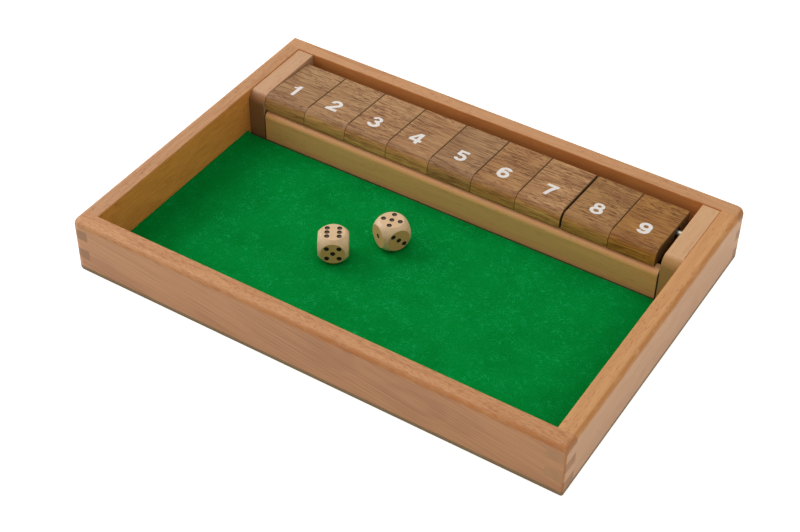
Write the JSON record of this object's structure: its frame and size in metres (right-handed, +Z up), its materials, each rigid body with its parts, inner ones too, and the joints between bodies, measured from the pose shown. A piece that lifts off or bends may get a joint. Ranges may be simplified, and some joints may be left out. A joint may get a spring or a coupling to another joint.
{
  "type": "shut the box game",
  "caption": "Shallow finger-jointed wooden tray with a felt floor, a rack of numbered tiles that flip up on a steel rod, and two dice.",
  "frame": {"origin": "middle of the tray's footprint, on the surface it stands on", "axes": "+X along the row of tiles from 1 to 9, +Y from the open floor to the rack, +Z up"},
  "size_m": [0.28, 0.195, 0.0306],
  "materials": {
    "wall_wood": "oiled beech, satin",
    "rack_wood": "oiled beech, satin",
    "base_wood": "raw plywood edge, matt",
    "felt": "green pressed felt",
    "rod_steel": "drawn",
    "tile_wood": "oiled dark hardwood, satin, long grain along the row",
    "die_wood": "waxed pale beech, black pips"
  },
  "bodies": {
    "tray": {"base_board": "base_wood", "felt_floor": "felt", "front_wall": "wall_wood", "rear_wall": "wall_wood", "left_wall": "wall_wood", "right_wall": "wall_wood", "left_cheek": "rack_wood", "right_cheek": "rack_wood", "tile_rail": "rack_wood", "tile_rod": "rod_steel"},
    "tile_1_body": {"tile_1": "tile_wood"},
    "tile_2_body": {"tile_2": "tile_wood"},
    "tile_3_body": {"tile_3": "tile_wood"},
    "tile_4_body": {"tile_4": "tile_wood"},
    "tile_5_body": {"tile_5": "tile_wood"},
    "tile_6_body": {"tile_6": "tile_wood"},
    "tile_7_body": {"tile_7": "tile_wood"},
    "tile_8_body": {"tile_8": "tile_wood"},
    "tile_9_body": {"tile_9": "tile_wood"},
    "die_1_body": {"die_1": "die_wood"},
    "die_2_body": {"die_2": "die_wood"}
  },
  "joints": [
    {"name": "tile_1_flip", "type": "hinge", "parent": "tray", "child": "tile_1_body", "pos_m": [0, 0.0668, 0.02379], "axis": [-1, 0, 0], "range_deg": [0, 143]},
    {"name": "tile_2_flip", "type": "hinge", "parent": "tray", "child": "tile_2_body", "pos_m": [0, 0.0668, 0.02379], "axis": [-1, 0, 0], "range_deg": [0, 143]},
    {"name": "tile_3_flip", "type": "hinge", "parent": "tray", "child": "tile_3_body", "pos_m": [0, 0.0668, 0.02379], "axis": [-1, 0, 0], "range_deg": [0, 143]},
    {"name": "tile_4_flip", "type": "hinge", "parent": "tray", "child": "tile_4_body", "pos_m": [0, 0.0668, 0.02379], "axis": [-1, 0, 0], "range_deg": [0, 143]},
    {"name": "tile_5_flip", "type": "hinge", "parent": "tray", "child": "tile_5_body", "pos_m": [0, 0.0668, 0.02379], "axis": [-1, 0, 0], "range_deg": [0, 143]},
    {"name": "tile_6_flip", "type": "hinge", "parent": "tray", "child": "tile_6_body", "pos_m": [0, 0.0668, 0.02379], "axis": [-1, 0, 0], "range_deg": [0, 143]},
    {"name": "tile_7_flip", "type": "hinge", "parent": "tray", "child": "tile_7_body", "pos_m": [0, 0.0668, 0.02379], "axis": [-1, 0, 0], "range_deg": [0, 143]},
    {"name": "tile_8_flip", "type": "hinge", "parent": "tray", "child": "tile_8_body", "pos_m": [0, 0.0668, 0.02379], "axis": [-1, 0, 0], "range_deg": [0, 143]},
    {"name": "tile_9_flip", "type": "hinge", "parent": "tray", "child": "tile_9_body", "pos_m": [0, 0.0668, 0.02379], "axis": [-1, 0, 0], "range_deg": [0, 143]},
    {"name": "die_1_lift", "type": "slide", "parent": "tray", "child": "die_1_body", "axis": [0, 0, 1], "range_m": [0, 0.06]},
    {"name": "die_2_lift", "type": "slide", "parent": "tray", "child": "die_2_body", "axis": [0, 0, 1], "range_m": [0, 0.06]}
  ]
}
